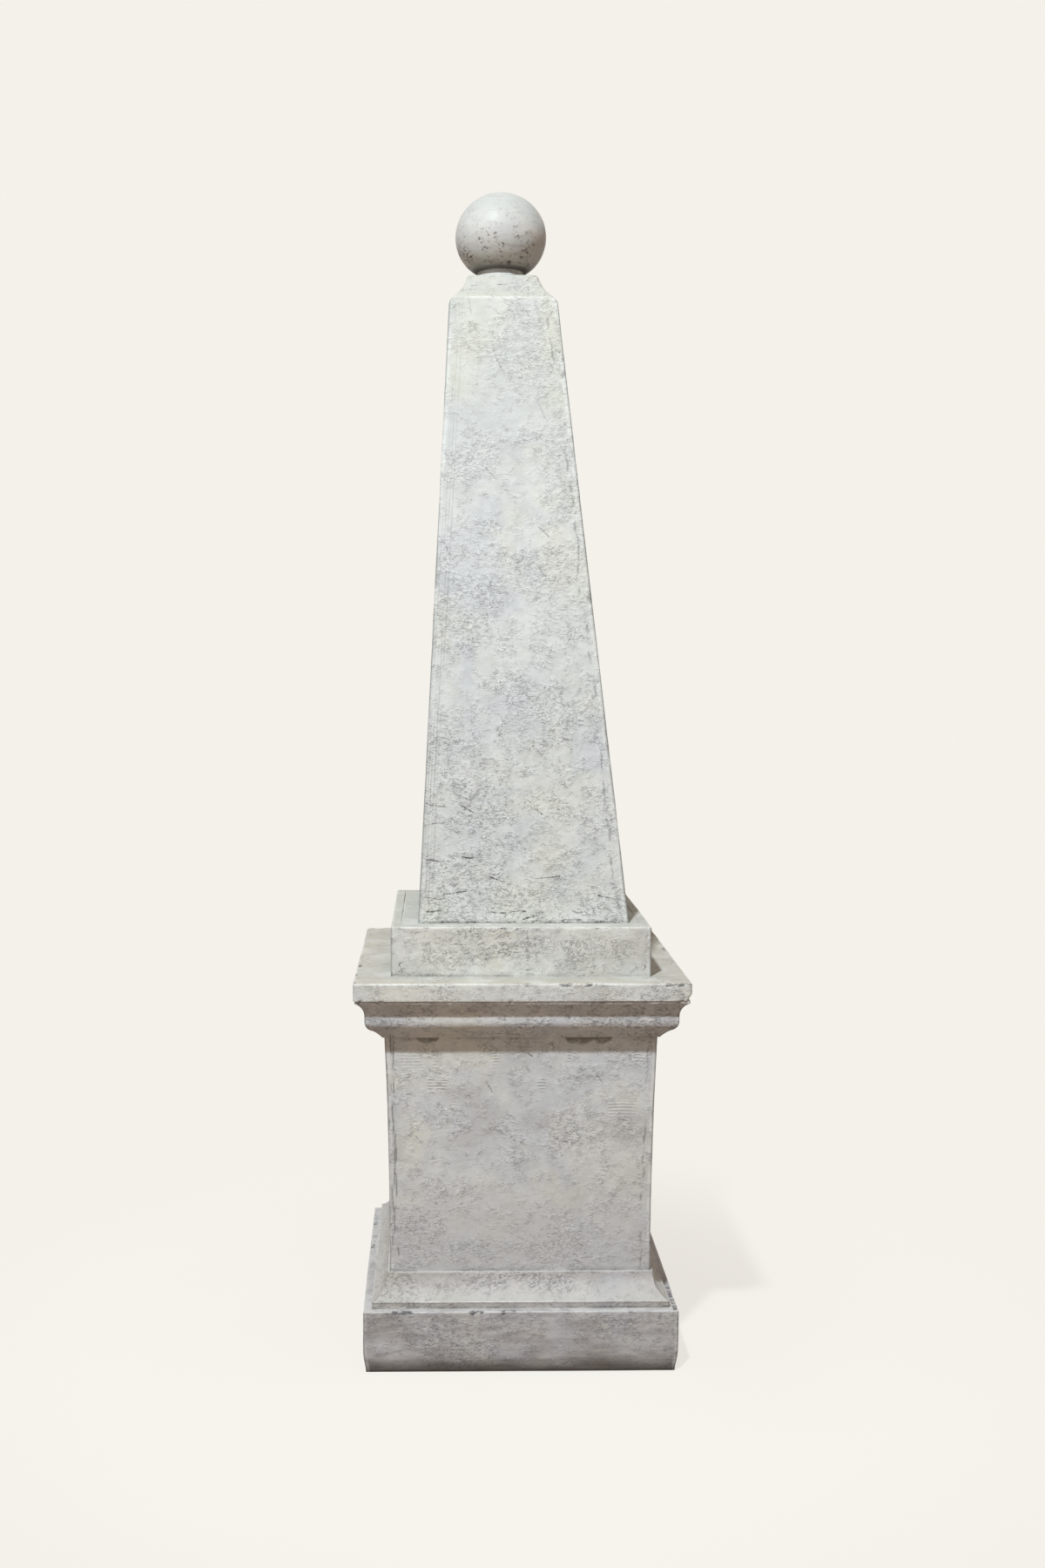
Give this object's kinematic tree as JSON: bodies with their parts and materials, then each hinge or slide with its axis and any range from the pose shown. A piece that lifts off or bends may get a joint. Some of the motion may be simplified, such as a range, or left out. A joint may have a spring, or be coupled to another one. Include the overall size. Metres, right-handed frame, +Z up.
{
  "type": "garden obelisk",
  "caption": "Weathered off-white obelisk of painted boards: plinth, square die with a moulded cornice, tapered shaft and a ball on top.",
  "frame": {"origin": "middle of the plinth's underside, on the ground", "axes": "+Z up, the front faces -Y, +X to the right as seen from the front"},
  "size_m": [0.631, 0.631, 2.2634],
  "materials": {
    "plinth_paint": "matte",
    "bare_board": "matte",
    "moulding_paint": "matte",
    "die_paint": "matte",
    "slab_paint": "matte",
    "shaft_paint": "matte",
    "ball_paint": "satin"
  },
  "bodies": {
    "root": {"plinth_front": "plinth_paint", "plinth_back": "plinth_paint", "plinth_left": "plinth_paint", "plinth_right": "plinth_paint", "plinth_bottom": "bare_board", "plinth_deck": "plinth_paint", "base_moulding_front": "moulding_paint", "base_moulding_back": "moulding_paint", "base_moulding_left": "moulding_paint", "base_moulding_right": "moulding_paint", "die_front": "die_paint", "die_back": "die_paint", "die_left": "die_paint", "die_right": "die_paint", "cornice_front": "moulding_paint", "cornice_back": "moulding_paint", "cornice_left": "moulding_paint", "cornice_right": "moulding_paint", "cornice_slab": "slab_paint", "block_front": "slab_paint", "block_back": "slab_paint", "block_left": "slab_paint", "block_right": "slab_paint", "block_top": "slab_paint", "shaft_front": "shaft_paint", "shaft_back": "shaft_paint", "shaft_left": "shaft_paint", "shaft_right": "shaft_paint", "shaft_cap": "shaft_paint", "ball_collar": "ball_paint", "ball_finial": "ball_paint"}
  },
  "joints": []
}
